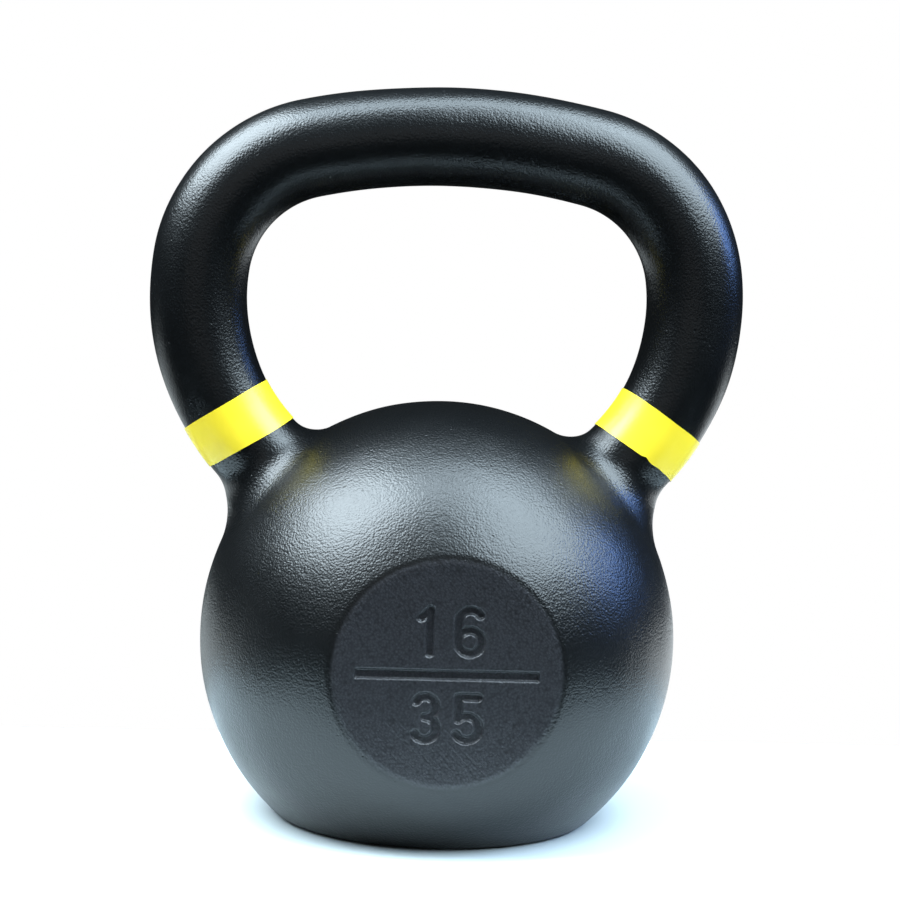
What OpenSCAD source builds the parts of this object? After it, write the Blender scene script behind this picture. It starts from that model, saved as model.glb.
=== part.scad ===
// Kettlebell: a one-piece iron casting with a band of coloured tape round each leg of its handle.
// Millimetres, +Z up. The flat base stands on the floor at z = 0 with its centre at the origin.
// The handle's loop lies in the XZ plane and the flat facet with the numerals faces -Y.

/* [Ball] */
// Diameter of the ball
ball_d = 157; // [130:0.5:190]
// Diameter at which the flat base cuts the ball, before its edge is rounded
base_d = 103; // [70:1:120]
// Rounding of the base's edge
base_round = 4.5; // [1:0.5:8]

/* [Handle] */
// Diameter of the round handle bar
bar_d = 31.6; // [26:0.5:40]
// Lean of each neck away from upright, in degrees
neck_angle = 45; // [38:0.5:52]
// Length of straight leg between the neck's fillet and the first bend
neck_straight = 0.4; // [0.2:0.2:10]
// Bend radius of a leg's centre line
leg_r = 73.5; // [55:0.5:110]
// Degrees through which a leg turns
leg_turn = 53.3; // [40:0.1:65]
// Bend radius of a top corner's centre line
corner_r = 45; // [30:0.5:60]
// Degrees through which a top corner turns
corner_turn = 69; // [55:0.5:75]

/* [Necks] */
// Radius of the fillet where a leg runs into the ball
neck_fillet = 10; // [4:0.5:18]

/* [Front facet] */
// Diameter of the flat facet
facet_d = 71.5; // [50:0.5:90]
// Depth of the numerals and the dividing bar
cut_depth = 1; // [0.4:0.1:2]
// Height of a numeral
digit_h = 16.4; // [10:0.2:22]
// Width of a numeral
digit_w = 10.2; // [8:0.2:14]
// Gap between two numerals
digit_gap = 3; // [2:0.2:9]
// Width of the numerals' strokes
stroke = 3; // [1.6:0.1:3.6]
// Length of the dividing bar
rule_l = 57; // [40:1:62]
// Width of the dividing bar
rule_w = 3.5; // [2:0.1:6]
// Gap between the dividing bar and the numerals
rule_gap = 3.5; // [2:0.1:8]

/* [Colour bands] */
// Width of the tape
band_w = 15.2; // [8:0.2:22]
// Distance along a leg's centre line from the start of its bend to the middle of the tape
band_along = 12; // [9:0.2:30]
// Thickness of the tape
band_t = 0.3; // [0.15:0.05:1]
// Layer of adhesive between the iron and the tape
band_glue = 0.05; // [0.02:0.01:0.2]
// Degrees by which the tape's ends overlap at the back
band_lap = 28; // [10:1:60]

/* [Hidden] */
$fn = 96;
iron = "#26282A";
tape = "#F2E415";

// skins that would only touch are drawn this much past each other, so that they cross
cross = 0.05;
// a ball this much over the bar's size closes each joint between two bends
joint = 0.02;

ball_r = ball_d / 2;
bar_r = bar_d / 2;
// height of the ball's centre above the floor
ball_z = sqrt(ball_r * ball_r - base_d * base_d / 4);
// base edge: centre of the rounding circle from the ball's centre, and the direction in which it lies
edge_x = sqrt(pow(ball_r - base_round, 2) - pow(ball_z - base_round, 2));
edge_dir = [edge_x, base_round - ball_z] / (ball_r - base_round);
// distance of the facet from the ball's centre
facet_y = sqrt(ball_r * ball_r - facet_d * facet_d / 4);

// neck: the circle that touches the ball and the bar, and the centre line's length from the ball's centre
fillet_x = bar_r + neck_fillet;
fillet_z = sqrt(pow(ball_r + neck_fillet, 2) - fillet_x * fillet_x);
neck_l = fillet_z + neck_straight;

// Centre line of the right-hand half, as (x, z) from the ball's centre.
// Headings are in degrees from +X towards +Z, and every bend is to the left.
heading_0 = 90 - neck_angle;             // up the neck
heading_1 = heading_0 + leg_turn;        // where the leg ends
heading_2 = heading_1 + corner_turn;     // where the top arc begins
function ahead(a) = [cos(a), sin(a)];
function left(a) = [-sin(a), cos(a)];
leg_c = neck_l * ahead(heading_0) + leg_r * left(heading_0);
leg_end = leg_c - leg_r * left(heading_1);
corner_c = leg_end + corner_r * left(heading_1);
corner_end = corner_c - corner_r * left(heading_2);
top_half = 180 - heading_2;
top_r = corner_end[0] / sin(top_half);
top_c = corner_end + top_r * left(heading_2);

// lengths along a leg's bend as degrees of it
split_turn = band_along / leg_r * 180 / PI; // the casting's two nodes meet here, under the tape's middle
band_turn = band_w / leg_r * 180 / PI;

// Sweeps a section along a bend of the centre line: its centre, its radius, its first heading and its turn.
module bend(c, r, heading, turn) {
    translate([c[0], 0, c[1]]) rotate([90, 0, 0])
        rotate_extrude(angle = turn, start = heading - 90) translate([r, 0]) children();
}

// The same along a leg's bend, counted from its lower end, in a frame whose +Z runs up the neck.
module leg(from, turn) {
    bend([-leg_r, neck_l], leg_r, 90 + from, turn) children();
}

module in_neck_frame() rotate([0, neck_angle, 0]) children();

module both_sides() {
    children();
    mirror([1, 0, 0]) children();
}

/* Ball */

module ball_profile() {
    difference() {
        intersection() {
            circle(ball_r);
            translate([0, -ball_z]) square([ball_r + 1, ball_z + ball_r + 1]);
        }
        translate([edge_x, base_round - ball_z]) difference() {
            polygon(3 * base_round * [[0, 0], [0, -1], [1, -1], edge_dir]);
            circle(base_round + joint);
        }
    }
}

module neck() {
    in_neck_frame() {
        cylinder(r = bar_r, h = neck_l);
        leg(0, split_turn) circle(bar_r);
        rotate_extrude() difference() {
            polygon([[0, 0], [fillet_x, fillet_z], [0, fillet_z]]);
            translate([fillet_x, fillet_z]) circle(neck_fillet + cross);
        }
    }
}

module ball() {
    color(iron) translate([0, 0, ball_z]) difference() {
        union() {
            rotate_extrude() ball_profile();
            both_sides() neck();
        }
        translate([-facet_d, -facet_y - facet_d, -facet_d]) cube([2 * facet_d, facet_d, 2 * facet_d]);
        translate([0, cut_depth - facet_y, 0]) rotate([90, 0, 0])
            linear_extrude(height = 2 * cut_depth) marking();
    }
}

/* Numerals: plain single-stroke figures. A dot a little wider than the stroke covers every end and joint. */

col = (digit_w - stroke) / 2; // half the width and half the height of a figure's centre line
row = (digit_h - stroke) / 2;

module dot(p) translate(p) circle(stroke / 2 + joint);

module line(p, q) {
    translate(p) rotate(atan2(q[1] - p[1], q[0] - p[0])) translate([0, -stroke / 2])
        square([norm(q - p), stroke]);
    dot(p);
    dot(q);
}

module arc(c, r, a, b) {
    translate(c) intersection() {
        difference() {
            circle(r + stroke / 2);
            circle(r - stroke / 2);
        }
        polygon([[0, 0], for (k = [0:6]) 2 * r * ahead(a + (b - a) * k / 6)]);
    }
    dot(c + r * ahead(a));
    dot(c + r * ahead(b));
}

module one() {
    line([col / 4, -row], [col / 4, row]);
    line([col / 4, row], [-0.5 * col, 0.62 * row]);
}

module six() {
    translate([0, col - row]) difference() {
        circle(col + stroke / 2);
        circle(col - stroke / 2);
    }
    line([-col, col - row], [-col, row - col]);
    arc([0, row - col], col, 35, 180);
}

module three() {
    r = 0.52 * row;
    arc([col - r, -row + r], r, -150, 90);
    arc([col - r, -row + 2 * r + (row - r)], row - r, -90, 150);
}

module five() {
    r = 0.56 * row;
    c = [col - r, r - row];
    join = c + r * ahead(135);
    arc(c, r, -150, 135);
    line(join, [join[0], row]);
    line([join[0], row], [0.85 * col, row]);
}

module pair() {
    translate([-(digit_w + digit_gap) / 2, 0]) children(0);
    translate([(digit_w + digit_gap) / 2, 0]) children(1);
}

module marking() {
    line_y = rule_w / 2 + rule_gap + digit_h / 2;
    square([rule_l, rule_w], center = true);
    translate([0, line_y]) pair() {
        one();
        six();
    }
    translate([0, -line_y]) pair() {
        three();
        five();
    }
}

/* Handle */

module half_handle() {
    in_neck_frame() leg(split_turn, leg_turn - split_turn) circle(bar_r);
    translate([leg_end[0], 0, leg_end[1]]) sphere(bar_r + joint);
    bend(corner_c, corner_r, heading_1, corner_turn) circle(bar_r);
    translate([corner_end[0], 0, corner_end[1]]) sphere(bar_r + joint);
}

module handle() {
    color(iron) translate([0, 0, ball_z]) {
        both_sides() half_handle();
        bend(top_c, top_r, heading_2, 2 * top_half) circle(bar_r);
    }
}

/* Bands */

module band_section() {
    inner = bar_r + band_glue;
    outer = inner + band_t;
    difference() {
        circle(outer);
        circle(inner);
    }
    intersection() {
        difference() {
            circle(outer + band_t);
            circle(outer - joint);
        }
        polygon([[0, 0], for (k = [-1:1]) 2 * outer * ahead(-90 + k * band_lap / 2)]);
    }
}

module right_band() {
    color(tape) translate([0, 0, ball_z]) in_neck_frame()
        leg(split_turn - band_turn / 2, band_turn) band_section();
}

module left_band() {
    mirror([1, 0, 0]) right_band();
}

ball();
handle();
left_band();
right_band();
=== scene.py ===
# %% [markdown]
# # A cast-iron kettlebell
#
# The real thing is one pour of grey iron: a ball with a flat foot, and a thick bent bar that runs back into
# it at both ends. It is shot-blasted, the moulding seam is ground off, and it is sprayed with black powder
# and baked. A strip of yellow vinyl tape round each leg tells its weight from across a gym.
#
# The measured model is loaded first and stays put. Everything here is built around it, in metres, with the
# flat foot on z = 0, the handle's loop in the XZ plane and the flat facet with the numerals facing -Y.

# %% Load the measured frame
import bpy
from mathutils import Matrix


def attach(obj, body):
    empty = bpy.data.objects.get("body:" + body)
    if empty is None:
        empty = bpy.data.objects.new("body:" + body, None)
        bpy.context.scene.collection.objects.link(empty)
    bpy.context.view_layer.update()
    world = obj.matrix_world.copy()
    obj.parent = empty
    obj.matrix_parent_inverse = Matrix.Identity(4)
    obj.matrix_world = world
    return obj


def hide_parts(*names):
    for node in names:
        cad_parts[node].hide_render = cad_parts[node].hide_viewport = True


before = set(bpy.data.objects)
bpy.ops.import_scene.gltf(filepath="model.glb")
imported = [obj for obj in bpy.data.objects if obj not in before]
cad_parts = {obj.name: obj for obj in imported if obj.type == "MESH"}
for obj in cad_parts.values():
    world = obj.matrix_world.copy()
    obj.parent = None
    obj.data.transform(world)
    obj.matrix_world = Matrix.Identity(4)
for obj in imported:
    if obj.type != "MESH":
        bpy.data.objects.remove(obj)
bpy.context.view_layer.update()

import math
import bmesh
import bpy
import numpy as np
from mathutils import Matrix, Vector

MM = 0.001

# %% [markdown]
# ## The camera
#
# A long lens from a little above the ball's middle, a few degrees to its left, and leaned by a degree or
# two, so that the object leans in the view. Short distances and wide lenses would swell the ball against
# the handle.

# %% Camera
BALL_R = 78.5                                # ball radius, mm
FOOT_R = 51.5                                # where the flat foot cuts the ball
BALL_Z = math.sqrt(BALL_R ** 2 - FOOT_R ** 2)  # the ball's centre above the floor

YAW, PITCH, LEAN = math.radians(-3.0), math.radians(5.55), math.radians(1.885)
AIM_UP = 60                                  # the camera aims this far above the ball's centre
LOOK_AT = Vector((0, 0, BALL_Z + AIM_UP)) * MM
DISTANCE = 824.2 * MM

back = Vector((math.sin(YAW) * math.cos(PITCH), -math.cos(YAW) * math.cos(PITCH), math.sin(PITCH)))
level = Vector((math.cos(YAW), math.sin(YAW), 0))
upright = back.cross(level)
across = math.cos(LEAN) * level + math.sin(LEAN) * upright
upward = -math.sin(LEAN) * level + math.cos(LEAN) * upright

camera = bpy.data.objects.new("camera", bpy.data.cameras.new("camera"))
camera.data.sensor_width = 36
camera.data.lens = 99.64
camera.data.shift_x, camera.data.shift_y = 0.0083, 0.0082
camera.data.clip_start = 0.05
turned = Matrix((across, upward, back)).transposed().to_4x4()
camera.matrix_world = Matrix.Translation(LOOK_AT + back * DISTANCE) @ turned
bpy.context.scene.collection.objects.link(camera)
bpy.context.scene.camera = camera
print("camera at", [round(c, 3) for c in camera.location])

# %% [markdown]
# ## Shapes as distances
#
# A casting has no sharp joins: the sand is rammed round a pattern whose corners are filled with fillets.
# Booleans and bevels struggle with a bent bar that dives into a ball. A distance field doesn't: every point
# in space gets one number, how far it is from the skin, negative inside. Two such numbers blend with a
# rounding of any radius, and a mesh takes the shape when each of its vertices slides to where the number is
# zero.

# %% Distance helpers
def round_join(a, b, r):
    """Union of two solids with a fillet of radius r where they meet."""
    return np.maximum(r, np.minimum(a, b)) - np.hypot(np.maximum(r - a, 0), np.maximum(r - b, 0))


def round_corner(a, b, r):
    """What two solids share, with the edge between them rounded over."""
    return np.minimum(-r, np.maximum(a, b)) + np.hypot(np.maximum(r + a, 0), np.maximum(r + b, 0))


def ramp(x, low, high):
    """0 below low, 1 above high, and a smooth S between."""
    t = np.clip((x - low) / (high - low), 0, 1)
    return t * t * (3 - 2 * t)


# %% [markdown]
# ## The bar's centre line
#
# The handle is one round bar: straight out of the ball at about 45 degrees, a long easy bend up the leg, a
# tight corner, and a nearly flat grip. Three arcs a side, each starting in the direction in which the last
# one ended, follow it. The two sides are mirror images, so only the +X side is described, as (x, z) from
# the ball's centre.

# %% The bends of the bar
NECK_LEAN = math.radians(45.0)
NECK_L = 85.0                                # the neck's straight part, from the ball's centre
NECK_START = 0.35 * NECK_L                   # deep inside the ball, where the bar no longer counts
BENDS_MM = [(73.5, 53.3), (45.0, 69.0)]      # radius and degrees of the leg and of the corner


def left(h):
    """The unit vector to the left of a heading, counted from +X towards +Z."""
    return np.array([-math.sin(h), math.cos(h)])


neck_dir = np.array([math.sin(NECK_LEAN), math.cos(NECK_LEAN)])
neck_out = np.array([math.cos(NECK_LEAN), -math.sin(NECK_LEAN)])   # across it, away from the window
heading, at, length = math.pi / 2 - NECK_LEAN, NECK_L * neck_dir, 0.0
bends = []
for radius, degrees in BENDS_MM:
    turn = math.radians(degrees)
    bends.append((at + radius * left(heading), radius, heading, turn, length))
    at = at + radius * left(heading) - radius * left(heading + turn)
    heading, length = heading + turn, length + radius * turn
half_grip = math.pi - heading
grip_r = at[0] / math.sin(half_grip)
bends.append((at + grip_r * left(heading), grip_r, heading, half_grip, length))
length += grip_r * half_grip
print(f"grip bend radius {grip_r:.1f} mm, centre line {length:.1f} mm from neck to mid-grip")


def along_bar(q):
    """For points (x, z), x >= 0: the distance to the centre line and how far along it that is."""
    t = np.clip(q @ neck_dir, NECK_START, NECK_L)
    best, where = np.hypot(*(q - t[:, None] * neck_dir).T), t - NECK_L
    for centre, radius, first, turn, before in bends:
        v = q - centre
        rel = np.arctan2(v[:, 0], -v[:, 1]) - first - turn / 2
        rel = np.clip((rel + math.pi) % (2 * math.pi) - math.pi + turn / 2, 0, turn)
        near = centre + radius * np.stack([np.sin(first + rel), -np.cos(first + rel)], 1)
        d = np.hypot(*(q - near).T)
        closer = d < best
        best, where = np.where(closer, d, best), np.where(closer, before + radius * rel, where)
    return best, where


NECK_R, LEG_GAIN, GRIP_GAIN = 15.45, 0.45, 0.1    # the bar's radius, and what leg and grip add to it


def bar_radius(s):
    """The legs thin a little towards the ball, where the pattern maker dressed the fillets."""
    return NECK_R + LEG_GAIN * ramp(s, 14, 50) + GRIP_GAIN * ramp(s, 60, 120)


def centre_line(s):
    """Point and heading on the centre line, a distance s past the neck's straight part."""
    for centre, radius, first, turn, before in reversed(bends):
        if s >= before:
            h = first + (s - before) / radius
            return centre - radius * left(h), h
    return (NECK_L + s) * neck_dir, math.pi / 2 - NECK_LEAN


# %% [markdown]
# ## The casting
#
# Ball, neck fillets, foot and facet come together in one field. The fillet is larger under each leg than on
# the window side, where a hand has to fit. Green-sand moulds move a little, so the skin is never a true
# sphere: a sum of slow waves a few hundredths of a millimetre high stops the highlights from looking turned
# on a lathe.

# %% The casting's field
FACET_R = 35.75
FACET_Y = math.sqrt(BALL_R ** 2 - FACET_R ** 2)   # how far forward the facet lies
FACET_EDGE, FOOT_EDGE = 0.9, 1.2             # how far their edges are rounded over
FILLET, FILLET_SLANT, FILLET_SIDES = 8.5, 3.25, 2.25   # at the neck's front, and what its two sides add
FILLET_SPAN = 18                             # from the neck's middle to its sides
WAVES, WAVE_H = 14, 0.018                    # how many, and how high each one is
WAVE_L = (14, 46)                            # shortest and longest

rng = np.random.default_rng(16)
wave_dirs = rng.normal(size=(WAVES, 3))
wave_dirs *= (2 * math.pi / rng.uniform(*WAVE_L, WAVES) / np.linalg.norm(wave_dirs, axis=1))[:, None]
wave_phase = rng.uniform(0, 2 * math.pi, WAVES)


def sand_waves(p):
    """How far the sand moved, in mm, at points in mm."""
    return WAVE_H * np.sin(p @ wave_dirs.T + wave_phase).sum(1)


def casting_field(p):
    """Distance in mm from the casting's skin, for points in mm from the ball's centre."""
    q = np.stack([np.abs(p[:, 0]), p[:, 2]], 1)
    d, s = along_bar(q)
    bar = np.hypot(d, p[:, 1]) - bar_radius(s)
    ball = np.linalg.norm(p, axis=1) - BALL_R
    outward = np.clip(q @ neck_out / FILLET_SPAN, -1, 1)
    fillet = FILLET + FILLET_SLANT * outward + FILLET_SIDES * outward ** 2
    skin = round_join(ball, bar, fillet)
    skin = skin + sand_waves(p) * ramp(p[:, 2] + BALL_Z, 0, 12)
    skin = round_corner(skin, -p[:, 1] - FACET_Y, FACET_EDGE)
    return round_corner(skin, -p[:, 2] - BALL_Z, FOOT_EDGE)


PROBE = 0.02                                 # mm each way, to feel the field's slope


def slide_onto(field, p, times):
    """Newton steps along the field's gradient. Returns the points and the unit normals there."""
    for _ in range(times):
        n = np.stack([field(p + e) - field(p - e) for e in PROBE * np.eye(3)], 1) / (2 * PROBE)
        size = np.linalg.norm(n, axis=1, keepdims=True)
        p = p - field(p)[:, None] * n / np.maximum(size, 0.2) ** 2
    return p, n / np.maximum(size, 1e-9)


# %% [markdown]
# A mesh to slide comes from the Remesh modifier: a rough ball and a rough bent tube, pushed through each
# other, turn into one closed skin of even quads. The modifier's steps don't matter, because every vertex
# then slides onto the field, and a few rounds of evening out keep the quads square where the fillets pulled
# them.

# %% A rough ball and tube, remeshed
VOXEL = 1.4 * MM
RING, STEPS = 32, 140                        # vertices round the tube, and rings from its middle to an end
INTO_BALL = 40                               # mm that each end of the tube runs on, past the neck's end

bm = bmesh.new()
bmesh.ops.create_uvsphere(bm, u_segments=96, v_segments=64, radius=BALL_R * MM)
rings = []
for k in range(-STEPS, STEPS + 1):
    s = length - abs(k) / STEPS * (length + INTO_BALL)
    (x, z), h = centre_line(s)
    side = -1 if k < 0 else 1
    out = -left(h)
    r = float(bar_radius(np.array(s)))
    ring = []
    for i in range(RING):
        a = 2 * math.pi * i / RING
        place = (side * (x + r * math.cos(a) * out[0]), side * r * math.sin(a), z + r * math.cos(a) * out[1])
        ring.append(bm.verts.new([c * MM for c in place]))
    rings.append(ring)
for a, b in zip(rings, rings[1:]):
    for i in range(RING):
        bm.faces.new((a[i], a[(i + 1) % RING], b[(i + 1) % RING], b[i]))
bm.faces.new(rings[0])
bm.faces.new(reversed(rings[-1]))
bmesh.ops.recalc_face_normals(bm, faces=bm.faces)
rough = bpy.data.objects.new("rough_casting", bpy.data.meshes.new("rough_casting"))
bm.to_mesh(rough.data)
bm.free()
bpy.context.scene.collection.objects.link(rough)
remesh = rough.modifiers.new("one skin", "REMESH")
remesh.mode, remesh.voxel_size = "VOXEL", VOXEL
skin_mesh = bpy.data.meshes.new_from_object(rough.evaluated_get(bpy.context.evaluated_depsgraph_get()))
bpy.data.objects.remove(rough)
print("remeshed skin:", len(skin_mesh.vertices), "vertices,", len(skin_mesh.polygons), "faces")


# %% Slide the skin onto the field
def read_points(mesh):
    """A mesh's vertices as rows of x, y and z."""
    co = np.empty(len(mesh.vertices) * 3)
    mesh.vertices.foreach_get("co", co)
    return co.reshape(-1, 3)


def even_out(points, pairs, normals, share=0.5):
    """Moves each vertex towards the middle of its neighbours, but only along the skin."""
    total = np.zeros_like(points)
    count = np.bincount(pairs.ravel(), minlength=len(points))[:, None]
    for axis in range(3):
        total[:, axis] = (np.bincount(pairs[:, 0], points[pairs[:, 1], axis], len(points))
                          + np.bincount(pairs[:, 1], points[pairs[:, 0], axis], len(points)))
    step = total / np.maximum(count, 1) - points
    return points + share * (step - (step * normals).sum(1, keepdims=True) * normals)


points = read_points(skin_mesh) / MM
pairs = np.empty(len(skin_mesh.edges) * 2, np.int64)
skin_mesh.edges.foreach_get("vertices", pairs)
pairs = pairs.reshape(-1, 2)
points, normals = slide_onto(casting_field, points, 5)
for _ in range(8):
    points = even_out(points, pairs, normals)
    points, normals = slide_onto(casting_field, points, 1)
points, normals = slide_onto(casting_field, points, 2)
print(f"furthest vertex from the field: {np.abs(casting_field(points)).max():.4f} mm")
points[:, 2] += BALL_Z
skin_mesh.vertices.foreach_set("co", (points * MM).ravel())

# %% [markdown]
# ## The numerals
#
# The figures are sunk about a millimetre into the facet by raised strips glued on the pattern, so their
# walls lean outwards for the sand to let go, and the powder rounds their edges. Each figure here is a plain
# single stroke: straight lines and arcs of one width. The field is in two dimensions this time, and its
# depth is pressed into a finer patch of the same mesh.

# %% Strokes of the figures
DIGIT_W, DIGIT_H, STROKE, DIGIT_GAP = 10.2, 16.4, 3.0, 3.0
RULE_L, RULE_W, RULE_GAP, RULE_CORNER = 57.0, 3.5, 3.5, 0.6
SUNK, DRAFT = 1.1, 0.65                      # depth of the figures, and how far their walls lean
col, row = (DIGIT_W - STROKE) / 2, (DIGIT_H - STROKE) / 2


def line(p, q):
    """Distance from a straight stroke's middle."""
    p, q = np.array(p, float), np.array(q, float)

    def field(v):
        t = np.clip((v - p) @ (q - p) / ((q - p) @ (q - p)), 0, 1)
        return np.hypot(*(v - p - t[:, None] * (q - p)).T)
    return field


def arc(c, r, a, b):
    """Distance from an arc's middle, between the angles a and b in degrees."""
    c, a, b = np.array(c, float), math.radians(a), math.radians(b)

    def field(v):
        w = v - c
        mid = (a + b) / 2
        t = (np.arctan2(w[:, 1], w[:, 0]) - mid + math.pi) % (2 * math.pi) - math.pi + mid
        t = np.clip(t, a, b)
        return np.hypot(w[:, 0] - r * np.cos(t), w[:, 1] - r * np.sin(t))
    return field


five_r = 0.56 * row
five_c = np.array([col - five_r, five_r - row])
five_end = 135
elbow = five_c + five_r * np.array([math.cos(math.radians(five_end)), math.sin(math.radians(five_end))])
three_r = 0.52 * row
FIGURES = {
    "1": [line((col / 4, -row), (col / 4, row)), line((col / 4, row), (-0.5 * col, 0.62 * row))],
    "6": [arc((0, col - row), col, -180, 180), line((-col, col - row), (-col, row - col)),
          arc((0, row - col), col, 35, 180)],
    "3": [arc((col - three_r, three_r - row), three_r, -150, 90),
          arc((col - three_r, three_r), row - three_r, -90, 150)],
    "5": [arc(five_c, five_r, -150, five_end), line(elbow, (elbow[0], row)),
          line((elbow[0], row), (0.85 * col, row))],
}
shift, rise = (DIGIT_W + DIGIT_GAP) / 2, RULE_W / 2 + RULE_GAP + DIGIT_H / 2
PLACES = [("1", -shift, rise), ("6", shift, rise), ("3", -shift, -rise), ("5", shift, -rise)]


def marking_field(v):
    """Distance from the edge of the nearest sunk stroke, for points (x, z) from the facet's centre."""
    d = np.full(len(v), 1e9)
    for name, x, z in PLACES:
        for stroke in FIGURES[name]:
            d = np.minimum(d, stroke(v - (x, z)) - STROKE / 2)
    past = np.maximum(np.abs(v) - (RULE_L / 2 - RULE_CORNER, RULE_W / 2 - RULE_CORNER), 0)
    return np.minimum(d, np.hypot(*past.T) - RULE_CORNER)


# %% Refine the facet, then press the figures in
CUTS, RIM = 4, 1.8                           # cuts per edge, and how far past the facet they reach, mm

bm = bmesh.new()
bm.from_mesh(skin_mesh)
coarse = len(bm.verts)
patch = []
for f in bm.faces:
    x, y, z = f.calc_center_median() / MM
    if y < 0 and math.hypot(x, z - BALL_Z) < FACET_R + RIM:
        patch.append(f)
bmesh.ops.subdivide_edges(bm, edges=list({e for f in patch for e in f.edges}), cuts=CUTS, use_grid_fill=True)
bm.to_mesh(skin_mesh)
bm.free()

points = read_points(skin_mesh) / MM
fine = np.arange(len(points)) >= coarse
points[fine], _ = slide_onto(lambda p: casting_field(p - (0, 0, BALL_Z)), points[fine], 2)
on_facet = points[:, 1] < -(FACET_Y - 1.0)
v = points[on_facet][:, [0, 2]] - (0, BALL_Z)
inside = -marking_field(v)
straight, soft = np.clip((inside + 0.05) / DRAFT, 0, 1), ramp(inside, -0.15, DRAFT + 0.05)
points[on_facet, 1] += SUNK * (0.5 * straight + 0.5 * soft)
points[:, 2] = np.maximum(points[:, 2], 0)
skin_mesh.vertices.foreach_set("co", (points * MM).ravel())
print("casting:", len(skin_mesh.vertices), "vertices,", len(skin_mesh.polygons), "faces")

# %% The casting as one piece, with masks for its finish
casting = bpy.data.objects.new("casting", skin_mesh)
skin_mesh.name = "casting"
bpy.context.scene.collection.objects.link(casting)
skin_mesh.polygons.foreach_set("use_smooth", [True] * len(skin_mesh.polygons))
from_middle = np.hypot(points[:, 0], points[:, 2] - BALL_Z)
masks = {"facet": (1 - ramp(from_middle, FACET_R - 1, FACET_R + 0.5)) * (points[:, 1] < 0),
         "bar": ramp(np.linalg.norm(points - (0, 0, BALL_Z), axis=1), BALL_R + 3, BALL_R + 18)}
for name, values in masks.items():
    skin_mesh.attributes.new(name, "FLOAT", "POINT").data.foreach_set("value", values.astype(np.float32))
skin_mesh.update()
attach(casting, "root")
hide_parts("ball", "handle")

# %% [markdown]
# ## The tapes
#
# Each band is a strip of vinyl tape, pressed on by hand: it starts behind the leg, goes once round and laps
# over its own start. So its end stands one thickness proud, its edges wander by a fraction of a millimetre,
# and neither strip is quite square to the leg. A torus would be too perfect, so the strip is laid down as a
# sheet of quads along the bar, wound a little more than once, and given its thickness.

# %% Wind a tape round each leg
BAR_R = 15.8                                 # the bar's nominal radius
TAPE_W, TAPE_T, GLUE = 15.2, 0.25, 0.05
TAPE_AT = 12.0                               # its middle, along the leg's bend
LAP = math.radians(28)
AROUND, ACROSS = 220, 14                     # quads along the strip and across it
EDGE_WANDER, END_LIFT = 0.1, 0.02


def wind_tape(name, side, tip, skew, wander, nick):
    """A strip from the back of the leg, round the front and back over its own start. Tip and skew in mm
    lift its front and its outer side along the leg; a nick is an angle, a depth and a spread on its lower
    edge, and wander is the seed of both edges."""
    total = 2 * math.pi + LAP
    r = np.random.default_rng(wander)
    waves = [(k, r.normal() * EDGE_WANDER / k, r.uniform(0, 6.28)) for k in (1, 2, 3, 5, 8, 13)]
    bm = bmesh.new()
    layers = []
    for layer in (0, 1):
        grid = []
        for i in range(AROUND + 1):
            a = total * i / AROUND
            alpha = -math.pi / 2 - LAP / 2 + a            # 90 degrees is the front, -90 the back
            over = float(ramp(np.array(a), 2 * math.pi - 0.06, 2 * math.pi + 0.02))
            edge = [sum(h * math.sin(k * a + p + 2 * j) for k, h, p in waves) for j in (0, 1)]
            for angle, depth, spread in nick:
                edge[0] += depth * math.exp(-((alpha - angle) / spread) ** 2)
            # the tape keeps its width round the bend, where the bar's own length is stretched or squeezed
            stretch = 1 + BAR_R * math.cos(alpha) / BENDS_MM[0][0]
            line_of = []
            for j in range(ACROSS + 1):
                t = j / ACROSS
                off_middle = TAPE_W * (t - 0.5) + edge[0] * (1 - t) + edge[1] * t + skew * math.cos(alpha)
                s = TAPE_AT + off_middle / stretch + tip * math.sin(alpha)
                (x, z), h = centre_line(s)
                out = -left(h)
                d = float(bar_radius(np.array(s))) + GLUE + TAPE_T * (layer + over) + END_LIFT * over
                place = (side * (x + d * math.cos(alpha) * out[0]), -d * math.sin(alpha),
                         z + d * math.cos(alpha) * out[1] + BALL_Z)
                line_of.append(bm.verts.new([c * MM for c in place]))
            grid.append(line_of)
        layers.append(grid)
    low, high = layers
    for i in range(AROUND):
        for j in range(ACROSS):
            bm.faces.new((low[i][j], low[i][j + 1], low[i + 1][j + 1], low[i + 1][j]))
            bm.faces.new((high[i][j], high[i + 1][j], high[i + 1][j + 1], high[i][j + 1]))
        for j in (0, ACROSS):
            bm.faces.new((low[i][j], low[i + 1][j], high[i + 1][j], high[i][j]))
    for i in (0, AROUND):
        for j in range(ACROSS):
            bm.faces.new((low[i][j], low[i][j + 1], high[i][j + 1], high[i][j]))
    bmesh.ops.recalc_face_normals(bm, faces=bm.faces)
    mesh = bpy.data.meshes.new(name)
    bm.to_mesh(mesh)
    bm.free()
    mesh.polygons.foreach_set("use_smooth", [True] * len(mesh.polygons))
    mesh.set_sharp_from_angle(angle=math.radians(40))
    tape = bpy.data.objects.new(name, mesh)
    bpy.context.scene.collection.objects.link(tape)
    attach(tape, "root")
    print(name, "is", round(total * BAR_R, 1), "mm long")
    return tape


left_tape = wind_tape("left_tape", -1, 0.8, 1.0, 3, [])
right_tape = wind_tape("right_tape", 1, 0.9, 0.1, 8, [(1.45, 0.5, 0.07), (1.25, -0.25, 0.1)])
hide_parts("left_band")
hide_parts("right_band")


# %% [markdown]
# ## Finishes
#
# Node materials are built by one small function, which adds a node, sets its sockets and links what feeds
# it. Colours are written as the sRGB hex values a paint chart gives, and one function turns them linear.

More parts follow.
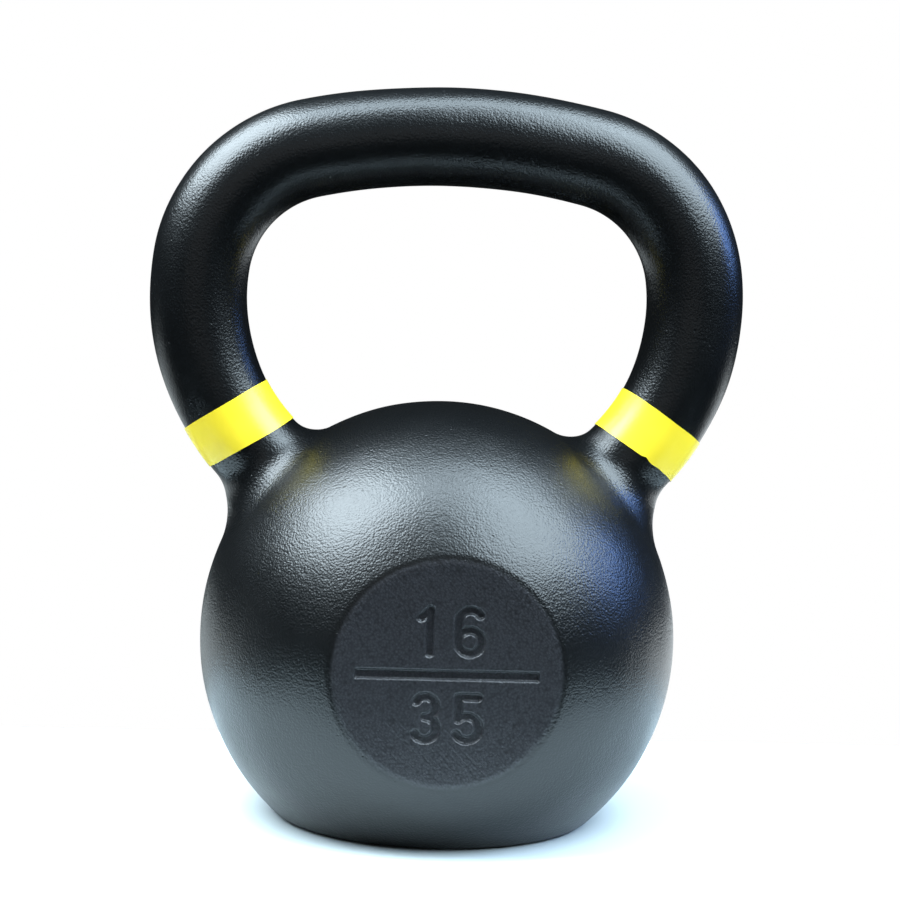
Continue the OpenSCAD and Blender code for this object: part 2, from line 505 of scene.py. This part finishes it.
# %% Colour and node helpers
def colour(code):
    """sRGB hex to linear RGBA."""
    srgb = [int(code[i:i + 2], 16) / 255 for i in (1, 3, 5)]
    return (*[c / 12.92 if c <= 0.04045 else ((c + 0.055) / 1.055) ** 2.4 for c in srgb], 1.0)


def new_material(name):
    """An empty material with its output and a Principled shader."""
    material = bpy.data.materials.new(name)
    material.use_nodes = True
    material.node_tree.nodes.clear()
    tree = material.node_tree
    shader = node(tree, "ShaderNodeBsdfPrincipled")
    node(tree, "ShaderNodeOutputMaterial", Surface=shader.outputs[0])
    return material, tree, shader


def node(tree, kind, settings=None, **sockets):
    """Adds a node. Settings are its properties; sockets are its inputs, by name or as i and a number, and
    each is given a value or what to link to it."""
    made = tree.nodes.new(kind)
    for key, value in (settings or {}).items():
        setattr(made, key, value)
    for key, value in sockets.items():
        if key[0] == "i" and key[1:].isdigit():
            socket = made.inputs[int(key[1:])]
        else:
            socket = made.inputs[key.replace("_", " ")]
        if isinstance(value, bpy.types.NodeSocket):
            tree.links.new(value, socket)
        else:
            socket.default_value = value
    return made


# %% [markdown]
# ### Textured black powder coat
#
# Polyester powder, sprayed dry and baked at about 190 degrees, over shot-blasted iron. It is a plastic
# film, so it isn't metallic, and its IOR is about 1.5. What the eye reads as cast iron is its skin: pebbles
# under a millimetre across and a few hundredths high, which break every highlight into sparks, with a
# pinhole here and there. The facet was ground flat before coating: the strokes of the disc show through,
# and its colour is painted light: a grey lifted above the coat's black to make up for light the lamps don't
# give it, with painted highlights on the pebbles' tops and painted shade between them. The bar is dressed
# smoother than the ball, for the hands. Sizes and heights below are in millimetres.

# %% Powder coat
PEBBLE, GRIT, SWELL, PINHOLES = 0.75, 0.45, 4.0, 5.5     # the spacing of each
DRIFT = 22.0                                             # how far apart the thicker places lie
STROKE_L, STROKE_SPACING, STROKE_TURN = 30.0, 0.7, math.radians(47)

coat, tree, shader = new_material("powder_coated_cast_iron")
shader.inputs["IOR"].default_value = 1.5
where = node(tree, "ShaderNodeTexCoord").outputs["Object"]
on_facet = node(tree, "ShaderNodeAttribute", {"attribute_name": "facet"}).outputs["Fac"]
on_bar = node(tree, "ShaderNodeAttribute", {"attribute_name": "bar"}).outputs["Fac"]


def sum_of(tree, *terms):
    """Adds up (output, factor) pairs with one multiply-add node each."""
    total = 0.0
    for value, factor in terms:
        added = node(tree, "ShaderNodeMath", {"operation": "MULTIPLY_ADD"}, i0=value, i1=factor, i2=total)
        total = added.outputs[0]
    return total


pebbles = node(tree, "ShaderNodeTexVoronoi", {"feature": "SMOOTH_F1"}, Vector=where,
               Scale=1 / (PEBBLE * MM), Smoothness=0.35)
grit = node(tree, "ShaderNodeTexNoise", Vector=where, Scale=1 / (GRIT * MM), Detail=1.0)
swell = node(tree, "ShaderNodeTexNoise", Vector=where, Scale=1 / (SWELL * MM), Detail=1.0)
pinholes = node(tree, "ShaderNodeTexVoronoi", Vector=where, Scale=1 / (PINHOLES * MM))
hole = node(tree, "ShaderNodeMapRange", {"interpolation_type": "SMOOTHSTEP"},
            Value=pinholes.outputs["Distance"], i1=0.03, i2=0.1, i3=1.0, i4=0.0)
as_cast = sum_of(tree, (pebbles.outputs["Distance"], -0.09), (grit.outputs[0], 0.06),
                 (swell.outputs[0], 0.06))
dressed = sum_of(tree, (on_bar, -0.2), (1.0, 1.0))
skin = node(tree, "ShaderNodeMath", {"operation": "MULTIPLY"}, i0=as_cast, i1=dressed).outputs[0]

# a texture mapping's scale is the size of one stroke, along it and across
stroke_space = node(tree, "ShaderNodeMapping", {"vector_type": "TEXTURE"}, Vector=where,
                    Rotation=(0, STROKE_TURN, 0), Scale=(STROKE_L * MM, 1.0, STROKE_SPACING * MM))
strokes = node(tree, "ShaderNodeTexNoise", Vector=stroke_space.outputs[0], Scale=1.0, Detail=2.0)
ground = node(tree, "ShaderNodeMath", {"operation": "MULTIPLY"}, i0=strokes.outputs[0], i1=on_facet)
relief = sum_of(tree, (skin, 1.0), (hole.outputs[0], -0.07), (ground.outputs[0], 0.12))
bump = node(tree, "ShaderNodeBump", Strength=1.0, Distance=MM, Height=relief)
tree.links.new(bump.outputs[0], shader.inputs["Normal"])

# the powder lies thicker in some places than in others, and that changes its gloss
drift = node(tree, "ShaderNodeTexNoise", Vector=where, Scale=1 / (DRIFT * MM), Detail=2.0)
gloss = sum_of(tree, (drift.outputs[0], 0.1), (on_bar, -0.03), (on_facet, 0.04), (1.0, 0.27))
tree.links.new(gloss, shader.inputs["Roughness"])
# painted light on the facet only: a lifted grey, paler on the pebbles' tops as painted highlights and darker
# between them as painted shade; everywhere else the coat stays plain black
facet_grit_painted_shade = node(tree, "ShaderNodeMix", {"data_type": "RGBA"}, i0=pebbles.outputs["Distance"],
                 i6=colour("#343438"), i7=colour("#161618"))
black_with_painted_facet = node(tree, "ShaderNodeMix", {"data_type": "RGBA"}, i0=on_facet, i6=colour("#060708"),
             i7=facet_grit_painted_shade.outputs[2])
tree.links.new(black_with_painted_facet.outputs[2], shader.inputs["Base Color"])
casting.data.materials.append(coat)
print("powder coat:", len(tree.nodes), "nodes")

# %% [markdown]
# ### Yellow vinyl tape
#
# Soft PVC film, calendered smooth and dyed through: a strong lemon colour, IOR 1.53, satin. Its only relief
# is the grit of the coat beneath, which prints through a quarter of a millimetre. Where it was stretched it
# is paler.

# %% Vinyl
PRINT, PRINT_H, STRETCH = 1.6, 0.04, 9.0     # mm: spacing and height of the grit, spacing of the paler places

vinyl, tree, shader = new_material("yellow_vinyl_tape")
shader.inputs["IOR"].default_value = 1.53
shader.inputs["Roughness"].default_value = 0.34
where = node(tree, "ShaderNodeTexCoord").outputs["Object"]
print_through = node(tree, "ShaderNodeTexNoise", Vector=where, Scale=1 / (PRINT * MM), Detail=2.0)
stretched = node(tree, "ShaderNodeTexNoise", Vector=where, Scale=1 / (STRETCH * MM), Detail=1.0)
bump = node(tree, "ShaderNodeBump", Strength=0.5, Distance=PRINT_H * MM, Height=print_through.outputs[0])
tree.links.new(bump.outputs[0], shader.inputs["Normal"])
lemon = node(tree, "ShaderNodeMix", {"data_type": "RGBA"}, i0=stretched.outputs[0], i6=colour("#FFDD28"),
             i7=colour("#FFE23A"))
tree.links.new(lemon.outputs[2], shader.inputs["Base Color"])
for tape in (left_tape, right_tape):
    tape.data.materials.append(vinyl)
print("vinyl:", len(tree.nodes), "nodes")

# %% [markdown]
# ## Floor, light and room
#
# Black gloss is lit by what it mirrors. Two large soft boxes stand left and right, high enough to leave a
# dark belt at eye height, and a third hangs overhead: together they draw the pale patches on the ball's
# shoulder and the highlight along the bar. A sheet of pale card is just large enough to give the ball's
# lower half its grey; past it the room is dark, which keeps the handle black. Two low strips behind pick
# out the ball's sides, and a dim window low on the right adds a touch of blue.

# %% Floor
CARD_HALF, CARD_FRONT, CARD_BACK = 0.22, -0.14, 0.12   # metres from the part's own middle

corners = [(-CARD_HALF, CARD_FRONT, 0), (CARD_HALF, CARD_FRONT, 0), (CARD_HALF, CARD_BACK, 0),
           (-CARD_HALF, CARD_BACK, 0)]
floor_mesh = bpy.data.meshes.new("floor")
floor_mesh.from_pydata(corners, [], [(0, 1, 2, 3)])
floor = bpy.data.objects.new("floor", floor_mesh)
bpy.context.scene.collection.objects.link(floor)
card, tree, shader = new_material("pale_card")
shader.inputs["Roughness"].default_value = 0.9
shader.inputs["Base Color"].default_value = colour("#CDD6D8")
floor.data.materials.append(card)


# %% Lights
LIT_POINT = Vector((0, 0, 0.1))


def soft_box(name, azimuth, elevation, distance, size, radiance, tint):
    """A lamp that faces the ball, as bright as asked whatever its size. Azimuth 0 is the front, 90 right."""
    lamp = bpy.data.lights.new(name, "AREA")
    lamp.shape, lamp.size, lamp.size_y = "RECTANGLE", size[0], size[1]
    lamp.energy = radiance * math.pi * size[0] * size[1]
    lamp.color = colour(tint)[:3]
    box = bpy.data.objects.new(name, lamp)
    az, el = math.radians(azimuth), math.radians(elevation)
    ray = Vector((math.sin(az) * math.cos(el), -math.cos(az) * math.cos(el), math.sin(el)))
    wide = Vector((math.cos(az), math.sin(az), 0))
    turn = Matrix((wide, ray.cross(wide), ray)).transposed().to_4x4()
    box.matrix_world = Matrix.Translation(LIT_POINT + ray * distance) @ turn
    bpy.context.scene.collection.objects.link(box)


soft_box("soft_box_left", -81, 52, 0.9, (0.72, 0.62), 19.5, "#E4F5FF")
soft_box("soft_box_right", 62, 48, 0.9, (0.84, 0.72), 12.5, "#DDF2FF")
soft_box("soft_box_overhead", 10, 84, 1.0, (0.85, 0.42), 11, "#DDF2FF")
soft_box("window_low_right", 97, 22, 1.0, (0.3, 0.3), 11, "#78A8FF")
soft_box("fill_by_the_camera", -10, 12, 1.4, (1.2, 0.6), 0.3, "#FFFFFF")
soft_box("reflector_rear_left", -131, -14, 0.75, (0.8, 0.18), 1.25, "#E9F6FA")
soft_box("reflector_rear_right", 133, -14, 0.75, (0.76, 0.17), 1.9, "#EDF6FA")

# %% Room
world = bpy.data.worlds.new("room")
bpy.context.scene.world = world
world.use_nodes = True
tree = world.node_tree
tree.nodes.clear()
seen = node(tree, "ShaderNodeLightPath").outputs["Is Camera Ray"]
room = node(tree, "ShaderNodeBackground", Color=colour("#2E3234"), Strength=0.5)
white = node(tree, "ShaderNodeBackground", Color=colour("#FFFFFF"), Strength=1.0)
both = node(tree, "ShaderNodeMixShader", i0=seen, i1=room.outputs[0], i2=white.outputs[0])
node(tree, "ShaderNodeOutputWorld", Surface=both.outputs[0])
bpy.context.scene.view_settings.view_transform = "Standard"
